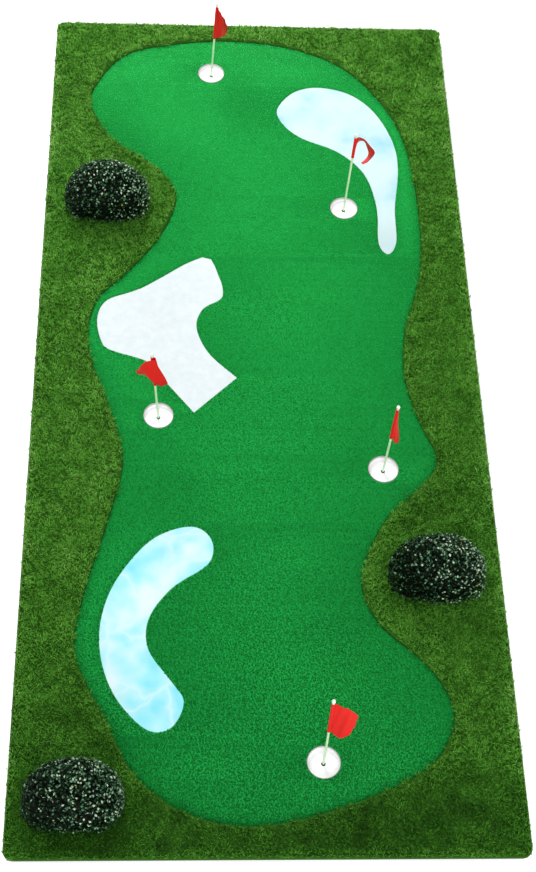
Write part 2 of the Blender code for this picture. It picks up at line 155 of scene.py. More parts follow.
# Turned outlines of (radius, height). The grommet's heights are above the floor, the others along the stick.
GROMMET_OUTLINE = [(0.0046, 0.0191), (0.0065, 0.0197), (0.0065, 0.0073), (0.0046, 0.0073), (0.0046, 0.0191)]
POLE_OUTLINE = [(0.0, 0.3980), (0.0040, 0.3980), (0.0040, 0.0070), (0.0, 0.0070)]
KNOB_OUTLINE = [
    (0.0, 0.4105), (0.0042, 0.4105), (0.0062, 0.4060), (0.0058, 0.4000), (0.0040, 0.3983), (0.0, 0.3983)]
TIP_OUTLINE = [(0.0, 0.0067), (0.0030, 0.0067), (0.0030, -0.0047), (0.0020, -0.0057), (0.0, -0.0057)]

# Each stick's parts: node, ending of the piece's name, outline, fillet and its steps, sides, material and slot.
STICK_PARTS = (
    ("pole", "tube", POLE_OUTLINE, 0.0006, 3, 28, "pole", "pole"),
    ("knob", "cap", KNOB_OUTLINE, 0.0024, 5, 32, "knob", "pole"),
    ("ferrule", "tip", TIP_OUTLINE, 0.0004, 3, 24, "metal", "metal"),
)

# The cloths are cut alike: sizes along the pole, at the free edge and out from the sleeve. The rows and steps are
# the mesh's divisions down the cloth and from station to station.
STICKS = (1, 2, 3, 4, 5)
SLEEVE_TOP = 0.392
HOIST = 0.170
CLOTH_LENGTH = 0.120
CLOTH_THICKNESS = 0.0006
CLOTH_ROWS = 33
CLOTH_STEPS = 10
SLEEVE_RADIUS = 0.0054
SLEEVE_STEPS = 22
SLEEVE_START = math.radians(40.0)
RIPPLE_HEIGHT = 0.0016
THREAD_SCALE = 300.0

# How each cloth hangs from its stick: stations from the sleeve to the free edge, upper and lower hem points,
# in metres from the top of the sleeve. +X is to the right and -Y is towards the near end.
PENNANTS = [
    [
        ((0.005, 0.000, 0.000), (0.005, 0.000, -0.170)),
        ((0.010, -0.012, -0.009), (0.024, 0.010, -0.175)),
        ((0.021, -0.022, -0.021), (0.042, 0.046, -0.203)),
        ((0.036, -0.010, -0.060), (0.049, 0.078, -0.226)),
        ((0.049, 0.010, -0.114), (0.055, 0.098, -0.236)),
    ],
    [
        ((0.005, 0.000, 0.000), (0.005, 0.000, -0.100)),
        ((0.015, -0.004, 0.006), (0.014, 0.030, -0.055)),
        ((0.035, -0.006, -0.007), (0.040, 0.066, -0.079)),
        ((0.063, 0.000, -0.043), (0.060, 0.070, -0.110)),
        ((0.079, 0.002, -0.079), (0.068, 0.066, -0.139)),
        ((0.061, -0.014, -0.105), (0.058, 0.048, -0.158)),
        ((0.034, -0.030, -0.103), (0.040, 0.030, -0.156)),
    ],
    [
        ((0.005, 0.000, 0.000), (0.005, 0.000, -0.170)),
        ((0.010, -0.005, 0.002), (0.025, -0.008, -0.168)),
        ((0.009, -0.013, 0.000), (0.044, -0.014, -0.141)),
        ((-0.006, -0.016, 0.004), (0.002, -0.024, -0.119)),
        ((-0.030, -0.020, -0.010), (-0.028, -0.008, -0.102)),
        ((-0.058, -0.024, -0.048), (-0.058, 0.022, -0.133)),
    ],
    [
        ((0.005, 0.000, 0.000), (0.005, 0.000, -0.170)),
        ((0.007, 0.014, -0.043), (0.020, 0.004, -0.212)),
        ((0.015, 0.028, -0.088), (0.036, 0.028, -0.234)),
        ((0.015, 0.044, -0.133), (0.033, 0.052, -0.253)),
        ((0.015, 0.060, -0.173), (0.033, 0.074, -0.267)),
    ],
    [
        ((0.005, 0.000, 0.000), (0.005, 0.000, -0.170)),
        ((0.023, -0.010, 0.000), (0.022, -0.012, -0.183)),
        ((0.044, -0.022, 0.004), (0.040, -0.026, -0.165)),
        ((0.061, -0.018, -0.020), (0.060, -0.022, -0.145)),
        ((0.079, -0.008, -0.063), (0.079, 0.008, -0.157)),
    ],
]

# The surroundings: the floor, and lamps as (place, point aimed at, size, power). The camera's turns are about
# Z, X and Z, in the order in which they're multiplied.
FLOOR_SIZE = 60.0
FLOOR_GLOW = 0.45
WORLD_STRENGTH = 0.62
LAMPS = {
    "key": ((-1.3, 3.6, 3.4), (0.0, 0.9, 0.0), 2.6, 190.0),
    "fill": ((2.5, -1.5, 3.5), (0.0, -0.3, 0.0), 3.0, 40.0),
    "front": ((-0.6, -9.0, 4.2), (0.0, 0.0, 0.2), 4.0, 380.0),
}
CAMERA_PLACE = (-0.285, -3.048, 4.601)
CAMERA_TURNS = ((-5.17, "Z"), (31.51, "X"), (4.85, "Z"))
CAMERA_LENS = 62.95
CAMERA_SHIFT = 0.0206


# ---------------- mesh making

class Soup:
    """Points, triangles and quads gathered from many small shapes, with a map position for each face corner."""

    def __init__(self):
        self.points = []
        self.faces = {3: [], 4: []}
        self.uvs = {3: [], 4: []}
        self.count = 0

    def add(self, points, shapes):
        """shapes is a list of (faces, uvs): faces index the points, and uvs has a pair for each corner."""
        self.points.append(points)
        for faces, uvs in shapes:
            corners = faces.shape[1]
            self.faces[corners].append(faces + self.count)
            self.uvs[corners].append(uvs)
        self.count += len(points)

    def mesh(self, name):
        made = bpy.data.meshes.new(name)
        points = np.concatenate(self.points)
        faces = [np.concatenate(self.faces[n]) for n in (3, 4) if self.faces[n]]
        uvs = [np.concatenate(self.uvs[n]).reshape(-1, 2) for n in (3, 4) if self.uvs[n]]
        corners = np.concatenate([face.ravel() for face in faces])
        sizes = np.concatenate([np.full(len(face), face.shape[1]) for face in faces])
        made.vertices.add(len(points))
        made.vertices.foreach_set("co", points.astype(np.float32).ravel())
        made.loops.add(len(corners))
        made.loops.foreach_set("vertex_index", corners.astype(np.int32))
        made.polygons.add(len(sizes))
        made.polygons.foreach_set("loop_start", (np.cumsum(sizes) - sizes).astype(np.int32))
        layer = made.uv_layers.new(name="OFBake")
        layer.data.foreach_set("uv", np.concatenate(uvs).astype(np.float32).ravel())
        made.update(calc_edges=True)
        made.validate()
        return made


def add_piece(name, mesh, body, material=None, replaces=()):
    piece = bpy.data.objects.new(name, mesh)
    bpy.context.scene.collection.objects.link(piece)
    if material:
        mesh.materials.clear()
        mesh.materials.append(material)
    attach(piece, body)
    if replaces:
        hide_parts(*replaces)
    return piece


def top_loops(node):
    """The outlines of a plate's upper face, largest first: its edge and then its holes."""
    mesh = frame["nodes"][node].data
    points = np.array([vertex.co for vertex in mesh.vertices])
    top = points[:, 2].max() - 0.0001
    spots = np.round(points[:, :2], 5)
    edges = {}
    for polygon in mesh.polygons:
        corners = list(polygon.vertices)
        if points[corners, 2].min() < top:
            continue
        for start, end in zip(corners, corners[1:] + corners[:1]):
            a, b = tuple(spots[start]), tuple(spots[end])
            if (b, a) in edges:
                del edges[(b, a)]
            else:
                edges[(a, b)] = True
    following = dict(edges.keys())
    loops = []
    while following:
        start, spot = following.popitem()
        loop = [start]
        while spot in following:
            loop.append(spot)
            spot = following.pop(spot)
        loops.append(np.array(loop))
    return sorted(loops, key=lambda loop: -abs(area_of(loop)))


def area_of(loop):
    ahead = np.roll(loop, -1, axis=0)
    return 0.5 * float(np.sum(loop[:, 0] * ahead[:, 1] - ahead[:, 0] * loop[:, 1]))


def smooth_loop(loop, steps=4):
    """The loop with extra points on a smooth curve, which keeps the corners that turn sharply."""
    count = len(loop)
    ahead = np.roll(loop, -1, axis=0) - loop
    heading = np.arctan2(ahead[:, 1], ahead[:, 0])
    turn = np.abs((heading - np.roll(heading, 1) + math.pi) % (2.0 * math.pi) - math.pi)
    sharp = turn > CORNER_TURN
    made = []
    for index in range(count):
        start, end = loop[index], loop[(index + 1) % count]
        before = start if sharp[index] else loop[index - 1]
        after = end if sharp[(index + 1) % count] else loop[(index + 2) % count]
        leaving = shorten((end - before) / 2.0, end - start)
        arriving = shorten((after - start) / 2.0, end - start)
        for step in range(steps):
            made.append(hermite(start, leaving, end, arriving, step / steps))
    return np.array(made)


def shorten(slope, chord):
    """The slope, no longer than the chord that it shapes."""
    return slope * min(1.0, np.linalg.norm(chord) / max(np.linalg.norm(slope), 1e-9))


def hermite(start, leaving, end, arriving, t):
    """A point between start and end on the curve that has the given slopes there."""
    rise = t * t * (3.0 - 2.0 * t)
    return start * (1.0 - rise) + end * rise + leaving * t * (1.0 - t) ** 2 - arriving * t * t * (1.0 - t)


def spline_point(before, start, end, after, t):
    """A point on the smooth curve through four stations, between the two in the middle."""
    return 0.5 * (
        2.0 * start + (end - before) * t + (2.0 * before - 5.0 * start + 4.0 * end - after) * t ** 2
        + (3.0 * start - before - 3.0 * end + after) * t ** 3
    )


def offset_loop(loop, distance):
    """The loop moved outward by the distance, or inward where it is negative."""
    along = np.roll(loop, -1, axis=0) - np.roll(loop, 1, axis=0)
    along /= np.linalg.norm(along, axis=1)[:, None]
    outward = np.stack([along[:, 1], -along[:, 0]], axis=1) * math.copysign(1.0, area_of(loop))
    return loop + outward * distance


def plate(name, loops, bottom, top, bevel=0.0):
    """A plate between two heights with rounded edges: the first loop is its edge, the others are holes."""
    curve = bpy.data.curves.new(name, "CURVE")
    curve.dimensions = "2D"
    curve.fill_mode = "BOTH"
    curve.extrude = (top - bottom) / 2.0 - bevel
    curve.bevel_depth = bevel
    curve.bevel_resolution = 2
    curve.offset = -bevel
    for loop in loops:
        spline = curve.splines.new("POLY")
        spline.points.add(len(loop) - 1)
        for point, spot in zip(spline.points, loop):
            point.co = (spot[0], spot[1], 0.0, 1.0)
        spline.use_cyclic_u = True
    flat = bpy.data.objects.new(name, curve)
    bpy.context.scene.collection.objects.link(flat)
    bpy.context.view_layer.update()
    mesh = bpy.data.meshes.new_from_object(flat.evaluated_get(bpy.context.evaluated_depsgraph_get()))
    bpy.data.objects.remove(flat, do_unlink=True)
    mesh.transform(Matrix.Translation((0.0, 0.0, (top + bottom) / 2.0)))
    weld(mesh)
    mesh.name = name
    return mesh


def weld(mesh):
    shape = bmesh.new()
    shape.from_mesh(mesh)
    bmesh.ops.remove_doubles(shape, verts=shape.verts, dist=0.00002)
    bmesh.ops.triangulate(shape, faces=[face for face in shape.faces if len(face.verts) > 4])
    bmesh.ops.recalc_face_normals(shape, faces=shape.faces)
    shape.to_mesh(mesh)
    shape.free()


def inside(x, y, loop):
    result = np.zeros(len(x), dtype=bool)
    for (x0, y0), (x1, y1) in zip(loop, np.roll(loop, -1, axis=0)):
        if y0 == y1:
            continue
        crosses = (y0 > y) != (y1 > y)
        result ^= crosses & (x < (x1 - x0) * (y - y0) / (y1 - y0) + x0)
    return result


def noise(x, y, lump, seed):
    """Smooth random numbers from 0 to 1, in lumps of the given size, on a grid turned by the seed."""
    grid = np.random.default_rng(seed).random((NOISE_CELLS, NOISE_CELLS))
    turn = 0.45 + 0.37 * seed
    u = (x * math.cos(turn) + y * math.sin(turn)) / lump + NOISE_CELLS // 2
    v = (y * math.cos(turn) - x * math.sin(turn)) / lump + NOISE_CELLS // 2
    column, row = np.floor(u).astype(int), np.floor(v).astype(int)
    s, t = u - column, v - row
    s, t = s * s * (3.0 - 2.0 * s), t * t * (3.0 - 2.0 * t)
    at = [[grid[(column + i) % NOISE_CELLS, (row + j) % NOISE_CELLS] for j in (0, 1)] for i in (0, 1)]
    return (at[0][0] * (1 - s) + at[1][0] * s) * (1 - t) + (at[0][1] * (1 - s) + at[1][1] * s) * t


def edge_of_mat(spots):
    """How far inside the mat's rounded outline each spot is, and the way out of the mat from there."""
    low, high = np.array(CAD_BOX)[:, :2]
    middle = (low + high) / 2.0
    half = (high - low) / 2.0 - MAT_CORNER_RADIUS
    beyond = np.abs(spots - middle) - half
    nearest = np.where(beyond == beyond.max(axis=1)[:, None], 1.0, 0.0)
    way = np.where((beyond > 0.0).any(axis=1)[:, None], np.maximum(beyond, 0.0), nearest) + 1e-9
    past = np.linalg.norm(np.maximum(beyond, 0.0), axis=1)
    inset = MAT_CORNER_RADIUS - past - np.minimum(beyond.max(axis=1), 0.0)
    way = way / np.linalg.norm(way, axis=1)[:, None] * np.sign(spots - middle)
    return inset, way


def edge_share(x, y, heading, reach):
    """How much of a blade's lean to keep, so that it stays within the mat's outer edge and a little more."""
    inset, way = edge_of_mat(np.column_stack([x, y]))
    outward = np.maximum(np.cos(heading) * way[:, 0] + np.sin(heading) * way[:, 1], 0.0)
    return np.clip((inset + EDGE_SPILL) / np.maximum(outward * reach, 1e-6), 0.05, 1.0)


def distance_to(x, y, loop):
    """The distance from each point to the nearest edge of the loop."""
    nearest = np.full(len(x), 9.0)
    for start, end in zip(loop, np.roll(loop, -1, axis=0)):
        along = end - start
        share = np.clip(((x - start[0]) * along[0] + (y - start[1]) * along[1]) / (along @ along), 0.0, 1.0)
        gap = np.hypot(x - start[0] - share * along[0], y - start[1] - share * along[1])
        nearest = np.minimum(nearest, gap)
    return nearest


# ---------------- materials

def new_material(name, roughness, specular=0.5, metallic=0.0):
    made = bpy.data.materials.new(name)
    made.use_nodes = True
    nodes = made.node_tree.nodes
    shader = nodes["Principled BSDF"]
    shader.inputs["Roughness"].default_value = roughness
    shader.inputs["Specular IOR Level"].default_value = specular
    shader.inputs["Metallic"].default_value = metallic
    return made, nodes, made.node_tree.links, shader


def ramp_node(nodes, stops, interpolation="LINEAR"):
    node = nodes.new("ShaderNodeValToRGB")
    node.color_ramp.interpolation = interpolation
    ramp = node.color_ramp.elements
    while len(ramp) > 1:
        ramp.remove(ramp[-1])
    for index, (position, colour) in enumerate(stops):
        stop = ramp[0] if index == 0 else ramp.new(position)
        stop.position = position
        stop.color = (*colour, 1.0)
    return node


def mix_node(nodes, kind, factor):
    node = nodes.new("ShaderNodeMix")
    node.data_type = kind
    node.inputs["Factor"].default_value = factor
    return node


def palette_material(name, tones, painted_shades, roughness, specular):
    """Tones side by side across the map, each multiplied by painted shade that is darkest at the root at the bottom
    of the map and turns to painted light towards the tip.
    """
    made, nodes, links, shader = new_material(name, roughness, specular)
    spot = nodes.new("ShaderNodeUVMap")
    spot.uv_map = "OFBake"
    split = nodes.new("ShaderNodeSeparateXYZ")
    links.new(spot.outputs["UV"], split.inputs["Vector"])
    across = ramp_node(nodes, [(index / len(tones), tone) for index, tone in enumerate(tones)], "CONSTANT")
    # Painted shade at the root and painted light at the tip, as factors up the map.
    upward = ramp_node(nodes, [(height, (painted_shade,) * 3) for height, painted_shade in zip((0.0, 0.55, 1.0), painted_shades)])
    links.new(split.outputs["X"], across.inputs["Fac"])
    links.new(split.outputs["Y"], upward.inputs["Fac"])
    mix = mix_node(nodes, "RGBA", 1.0)
    mix.blend_type = "MULTIPLY"
    links.new(across.outputs["Color"], mix.inputs["A"])
    links.new(upward.outputs["Color"], mix.inputs["B"])
    links.new(mix.outputs["Result"], shader.inputs["Base Color"])
    return made


def noise_node(nodes, links, scale, detail=3.0, roughness=0.55):
    place = nodes.new("ShaderNodeTexCoord")
    texture = nodes.new("ShaderNodeTexNoise")
    texture.inputs["Scale"].default_value = scale
    texture.inputs["Detail"].default_value = detail
    texture.inputs["Roughness"].default_value = roughness
    links.new(place.outputs["Object"], texture.inputs["Vector"])
    return texture


def add_bump(nodes, links, shader, height, strength, distance):
    bump = nodes.new("ShaderNodeBump")
    bump.inputs["Strength"].default_value = strength
    bump.inputs["Distance"].default_value = distance
    links.new(height, bump.inputs["Height"])
    links.new(bump.outputs["Normal"], shader.inputs["Normal"])


def speckled(name, low, high, scale, roughness, bump=0.0, specular=0.5, metallic=0.0):
    """A colour that wanders between two tones, with a fine relief of the same grain."""
    made, nodes, links, shader = new_material(name, roughness, specular, metallic)
    value = noise_node(nodes, links, scale).outputs["Fac"]
    ramp = ramp_node(nodes, [(0.3, low), (0.7, high)])
    links.new(value, ramp.inputs["Fac"])
    links.new(ramp.outputs["Color"], shader.inputs["Base Color"])
    if bump:
        add_bump(nodes, links, shader, value, 0.5, bump)
    return made


# ---------------- turf

def tone_uv(tone, palette, offsets, heights):
    """Map corners for faces of one tone each: across the palette's strip by the offsets, up it by the heights."""
    tones = len(palette)
    middle = (np.floor(np.clip(tone, 0.0, 0.999) * tones) + 0.5) / tones
    uv = np.empty((len(tone), len(offsets), 2))
    uv[:, :, 0] = middle[:, None] + np.array(offsets) * TONE_HALF_WIDTH
    uv[:, :, 1] = np.array(heights)
    return uv


def blade_frames(heading, angle):
    """Unit vectors along, across and through blades that point to a heading, at an angle from upright."""
    along = np.stack([np.cos(heading) * np.sin(angle), np.sin(heading) * np.sin(angle), np.cos(angle)], axis=1)
    across = np.stack([-np.sin(heading), np.cos(heading), np.zeros_like(heading)], axis=1)
    return along, across, np.cross(along, across)


def add_blades(soup, roots, heading, lean, bend, length, width, tone, palette):
    """Bent blades: a three-sided section at the root and at the middle, and a pointed tip."""
    count = len(roots)
    lower, across, through = blade_frames(heading, lean)
    upper, _, through_mid = blade_frames(heading, lean + bend)
    middle = roots + lower * (length * 0.55)[:, None]
    tip = middle + upper * (length * 0.45)[:, None]
    half = (width * 0.5)[:, None]
    points = np.stack([
        roots - across * half, roots + across * half, roots + through * half * 0.6,
        middle - across * half * 0.85, middle + across * half * 0.85, middle + through_mid * half * 0.5,
        tip,
    ], axis=1)
    first = (np.arange(count) * 7)[:, None]
    shapes = []
    lower_half = tone_uv(tone, palette, (-1, 1, 1, -1), (0, 0, 0.5, 0.5))
    upper_half = tone_uv(tone, palette, (-1, 1, 0), (0.5, 0.5, 1.0))
    for a, b in ((0, 1), (1, 2), (2, 0)):
        shapes.append((first + np.array([a, b, b + 3, a + 3]), lower_half))
        shapes.append((first + np.array([a + 3, b + 3, 6]), upper_half))
    shapes.append((first + np.array([2, 1, 0]), tone_uv(tone, palette, (-1, 1, 0), (0.0, 0.0, 0.03))))
    soup.add(points.reshape(-1, 3), shapes)


def add_spikes(soup, roots, heading, lean, length, width, tone, palette):
    """Short straight tufts: a three-sided root and a pointed tip."""
    count = len(roots)
    along, across, through = blade_frames(heading, lean)
    half = (width * 0.5)[:, None]
    points = np.stack([
        roots - across * half, roots + across * half, roots + through * half, roots + along * length[:, None],
    ], axis=1)
    first = (np.arange(count) * 4)[:, None]
    shapes = [
        (first + np.array([a, b, 3]), tone_uv(tone, palette, (-1, 1, 0), (0.0, 0.0, 1.0)))
        for a, b in ((0, 1), (1, 2), (2, 0))
    ]
    shapes.append((first + np.array([2, 1, 0]), tone_uv(tone, palette, (-1, 1, 0), (0.0, 0.0, 0.03))))
    soup.add(points.reshape(-1, 3), shapes)


def add_plate(soup, name, loops, bottom, top, tone, palette, painted_shade):
    """The matted foot of the pile, as a plate of one dark tone, darkened further by painted shade from low on the
    palette's root ramp.
    """
    mesh = plate(name, loops, bottom, top)
    mesh.calc_loop_triangles()
    points = np.array([vertex.co for vertex in mesh.vertices])
    faces = np.array([triangle.vertices for triangle in mesh.loop_triangles])
    bpy.data.meshes.remove(mesh)
    uvs = tone_uv(np.full(len(faces), tone), palette, (-1, 1, 0), (painted_shade, painted_shade, painted_shade + 0.04))
    soup.add(points, [(faces, uvs)])


def scatter(low, high, step_x, step_y, jitter, rng):
    """Points on a staggered grid, each moved a little."""
    xs = np.arange(low[0], high[0] + step_x, step_x)
    ys = np.arange(low[1], high[1] + step_y, step_y)
    x, y = np.meshgrid(xs, ys)
    x = x + (np.arange(len(ys)) % 2)[:, None] * step_x * 0.5
    x = x + rng.uniform(-jitter, jitter, x.shape) * step_x
    y = y + rng.uniform(-jitter, jitter, y.shape) * step_y
    return x.ravel(), y.ravel()


def rough_tone(x, y, rng):
    """Light and dark clumps at random, with painted shade along the near end, a painted light rim along the mat's
    outer edge, and painted light that makes the far end a little paler.
    """
    clump = noise(x, y, 0.050, 11) * 0.55 + noise(x, y, 0.019, 12) * 0.45
    drift = noise(x, y, 0.32, 13)
    inset, _ = edge_of_mat(np.column_stack([x, y]))
    # Painted light: a pale rim along the mat's outer edge.
    rim = np.exp(-(inset / PAINTED_RIM_WIDTH) ** 2)
    # Painted shade: darker beyond a line near the near end.
    near = np.clip((NEAR_PAINTED_SHADE_Y - y) / NEAR_PAINTED_SHADE_FADE, 0.0, 1.0)
    # The y term is painted light that makes the far end paler.
    tone = 0.24 + 0.38 * clump + 0.14 * drift + 0.04 * y / MAT_HALF_LENGTH + 0.26 * rim - 0.26 * near
    return tone + rng.normal(0.0, 0.11, len(x))


def build_rough(side, rng):
    """One strip of the border's long pile, in two halves so that no mesh is too large."""
    node = f"rough_turf_{side}"
    loops = [smooth_loop(loop, 2) for loop in top_loops(node)]
    low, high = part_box(node)
    x, y = scatter(low, high, ROUGH_STEP, ROUGH_STEP, 0.45, rng)
    keep = inside(x, y, offset_loop(loops[0], -0.002))
    x, y = x[keep], y[keep]
    lengthways = high[1] - low[1] > high[0] - low[0]
    first_half = y < (low[1] + high[1]) / 2.0 if lengthways else x < (low[0] + high[0]) / 2.0
    for half, chosen in (("a", first_half), ("b", ~first_half)):
        soup = Soup()
        if half == "a":
            add_plate(soup, node + "_foot", loops, ROUGH_FOOT, ROUGH_THATCH_Z, 0.20, ROUGH_TONES, 0.30)
            add_fringe(soup, loops[0], rng)
        add_tufts(soup, x[chosen], y[chosen], rng)
        name = f"{node}_pile_{half}"
        add_piece(name, soup.mesh(name), "mat", MATERIALS["rough_turf"], [node])


def add_tufts(soup, x, y, rng):
    """Tufts of long bent blades with shorter straight ones between them, which lean together in clumps."""
    count = len(x)
    clump_heading = noise(x, y, 0.042, 21) * 4.0 * math.pi
    clump_lean = 0.30 + 0.90 * noise(x, y, 0.033, 22)
    lift = noise(x, y, 0.028, 23)
    for blade in range(ROUGH_BLADES_PER_TUFT + ROUGH_SPIKES_PER_TUFT):
        bent = blade < ROUGH_BLADES_PER_TUFT
        spread = rng.uniform(0.0, TUFT_SPREAD, count)
        around = rng.uniform(0.0, 2.0 * math.pi, count)
        foot = np.full(count, ROUGH_THATCH_Z - 0.002)
        roots = np.stack([x + spread * np.cos(around), y + spread * np.sin(around), foot], axis=1)
        heading = clump_heading + rng.normal(0.0, 1.1, count)
        lean = np.clip(clump_lean + rng.normal(0.0, 0.30, count), 0.05, 1.25)
        length = ROUGH_BLADE_LENGTH * (0.68 + 0.36 * lift + rng.uniform(-0.14, 0.18, count))
        share = edge_share(roots[:, 0], roots[:, 1], heading, length)
        width = ROUGH_BLADE_WIDTH * rng.uniform(0.70, 1.15, count)
        tone = rough_tone(x, y, rng)
        if bent:
            bend = rng.uniform(0.15, 0.85, count) * share
            add_blades(soup, roots, heading, lean * share, bend, length, width, tone, ROUGH_TONES)
        else:
            add_spikes(soup, roots, heading, lean * share, length * 0.88, width * 1.1, tone, ROUGH_TONES)


def add_fringe(soup, loop, rng):
    """Short blades on the mat's outer side, from the backing up to the pile, darkened by painted shade towards the
    floor.
    """
    ahead = np.roll(loop, -1, axis=0) - loop
    steps = np.maximum(1, (np.linalg.norm(ahead, axis=1) / FRINGE_STEP).astype(int))
    spots = np.concatenate([
        start + way * ((np.arange(parts) + 0.5) / parts)[:, None]
        for start, way, parts in zip(loop, ahead, steps)
    ])
    inset, way_out = edge_of_mat(spots)
    outer = inset < 0.002
    spots, way_out = spots[outer], way_out[outer]
    count = len(spots)
    heights = rng.uniform(ROUGH_FOOT + 0.001, ROUGH_THATCH_Z + 0.004, count)
    roots = np.column_stack([spots - way_out * 0.006, heights])
    heading = np.arctan2(way_out[:, 1], way_out[:, 0]) + rng.normal(0.0, 0.7, count)
    lean = rng.uniform(0.05, 0.28, count)
    bend = rng.uniform(-0.3, 0.1, count)
    length = rng.uniform(*FRINGE_LENGTH, count)
    width = np.full(count, ROUGH_BLADE_WIDTH)
    # Painted shade: the lower a blade's root, the darker its tone.
    painted_shade = 0.70 * (ROUGH_THATCH_Z - heights) / (ROUGH_THATCH_Z - ROUGH_FOOT)
    tone = rough_tone(spots[:, 0], spots[:, 1], rng) - painted_shade
    add_blades(soup, roots, heading, lean, bend, length, width, tone, ROUGH_TONES)


def build_green(rng):
    """The short pile, in three lengths so that no mesh is too large; the middle one also holds the whole foot."""
    loops = [smooth_loop(loop, 3) for loop in top_loops("putting_turf")]
    low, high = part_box("putting_turf")
    x, y = scatter(low, high, GREEN_STEP, GREEN_ROW, 0.40, rng)
    keep = inside(x, y, offset_loop(loops[0], -0.001))
    for hole in loops[1:]:
        keep &= ~inside(x, y, offset_loop(hole, 0.0014))
    x, y = x[keep], y[keep]
    count = len(x)
    roots = np.column_stack([x, y, np.full(count, GREEN_THATCH_Z - 0.0008)])
    heading = -0.5 * math.pi + rng.normal(0.0, 1.3, count)
    lean = rng.uniform(0.55, 1.20, count)
    length = rng.uniform(*GREEN_TUFT_LENGTH, count)
    width = rng.uniform(*GREEN_TUFT_WIDTH, count)
    rows = 0.025 * np.sin(y * 2.0 * math.pi / BRUSHED_ROW)
    patches = 0.05 * (noise(x, y, 0.22, 32) - 0.5) + 0.10 * (noise(x, y, 0.013, 33) - 0.5)
    # The y term is painted light: the far end is paler than the near end.
    tone = 0.43 + 0.40 * y / MAT_HALF_LENGTH + rows + patches + rng.normal(0.0, 0.065, count)
    for band_y in GREEN_BANDS:
        tone += 0.06 * np.exp(-((y - band_y) / BAND_WIDTH) ** 2)
    # Painted shade: the pile darkens next to each inlay's edge.
    for hole in loops[1:]:
        if abs(area_of(hole)) > INLAY_MIN_AREA:
            tone -= 0.38 * np.exp(-(distance_to(x, y, hole) / INLAY_PAINTED_SHADE_WIDTH) ** 2)
    thirds = np.digitize(y, GREEN_CUTS)
    for index, part in enumerate(("near", "middle", "far")):
        chosen = thirds == index
        soup = Soup()
        kept = (values[chosen] for values in (roots, heading, lean, length, width, tone))
        add_spikes(soup, *kept, GREEN_TONES)
        if part == "middle":
            add_plate(soup, "green_foot", loops, GREEN_FOOT, GREEN_THATCH_Z, 0.30, GREEN_TONES, 0.50)
        name = f"putting_turf_{part}_pile"
        add_piece(name, soup.mesh(name), "mat", MATERIALS["green_turf"], ["putting_turf"])


# ---------------- inlays, pads and hidden layers

def water_material(name, stops, lump, lines):
    """Printed water: soft pools and clouds between the given tones, crossed by a few thin pale ripples."""
    made, nodes, links, shader = new_material(name, 0.45, 0.2)
    pools = noise_node(nodes, links, 1.0 / lump, 2.0, 0.45)
    ramp = ramp_node(nodes, stops)
    links.new(pools.outputs["Fac"], ramp.inputs["Fac"])
    place = nodes.new("ShaderNodeTexCoord")
    warp = noise_node(nodes, links, 7.0, 2.0, 0.5)
    shift = mix_node(nodes, "VECTOR", 0.16)
    links.new(place.outputs["Object"], shift.inputs["A"])
    links.new(warp.outputs["Color"], shift.inputs["B"])
    net = nodes.new("ShaderNodeTexVoronoi")
    net.feature = "DISTANCE_TO_EDGE"
    net.inputs["Scale"].default_value = 6.5
    links.new(shift.outputs["Result"], net.inputs["Vector"])
    glow = ramp_node(nodes, [(0.0, (lines,) * 3), (0.05, (lines * 0.35,) * 3), (0.16, (0.0,) * 3)])
    links.new(net.outputs["Distance"], glow.inputs["Fac"])
    mix = mix_node(nodes, "RGBA", 0.5)
    mix.inputs["B"].default_value = (*stops[-1][1], 1.0)
    links.new(glow.outputs["Color"], mix.inputs["Factor"])
    links.new(ramp.outputs["Color"], mix.inputs["A"])
    links.new(mix.outputs["Result"], shader.inputs["Base Color"])
    nap = noise_node(nodes, links, 900.0, 2.0, 0.6)
    add_bump(nodes, links, shader, nap.outputs["Fac"], 0.25, 0.0005)
    return made


def cloth_material(name, dark, light):
    """Woven nylon: two sets of threads across each other, in metres on the cloth's own map."""
    made, nodes, links, shader = new_material(name, 0.55, 0.12)
    shader.inputs["Sheen Weight"].default_value = 0.05
    spot = nodes.new("ShaderNodeUVMap")
    spot.uv_map = "weave"
    threads = []
    for direction in ("X", "Y"):
        wave = nodes.new("ShaderNodeTexWave")
        wave.bands_direction = direction
        wave.inputs["Scale"].default_value = THREAD_SCALE
        links.new(spot.outputs["UV"], wave.inputs["Vector"])
        threads.append(wave.outputs["Fac"])
    weave = nodes.new("ShaderNodeMath")
    weave.operation = "MULTIPLY"
    links.new(threads[0], weave.inputs[0])
    links.new(threads[1], weave.inputs[1])
    ramp = ramp_node(nodes, [(0.0, dark), (0.7, light)])
    links.new(weave.outputs["Value"], ramp.inputs["Fac"])
    links.new(ramp.outputs["Color"], shader.inputs["Base Color"])
    add_bump(nodes, links, shader, weave.outputs["Value"], 0.3, 0.0002)
    return made


def cup_material():
    """White plastic with painted shade that makes it greyer up the wall than on the floor, where the turf shades
    it.
    """
    made, nodes, links, shader = new_material("cup_plastic_painted_shade", 0.25)
    place = nodes.new("ShaderNodeTexCoord")
    split = nodes.new("ShaderNodeSeparateXYZ")
    links.new(place.outputs["Object"], split.inputs["Vector"])
    height = nodes.new("ShaderNodeMapRange")
    height.inputs["From Min"].default_value = CUP_FLOOR_Z
    height.inputs["From Max"].default_value = CUP_PAINTED_SHADE_Z
    links.new(split.outputs["Z"], height.inputs["Value"])
    ramp = ramp_node(nodes, [(0.0, (0.93, 0.94, 0.94)), (0.35, (0.84, 0.84, 0.84)), (1.0, (0.38, 0.37, 0.36))])
    links.new(height.outputs["Result"], ramp.inputs["Fac"])
    links.new(ramp.outputs["Color"], shader.inputs["Base Color"])
    return made


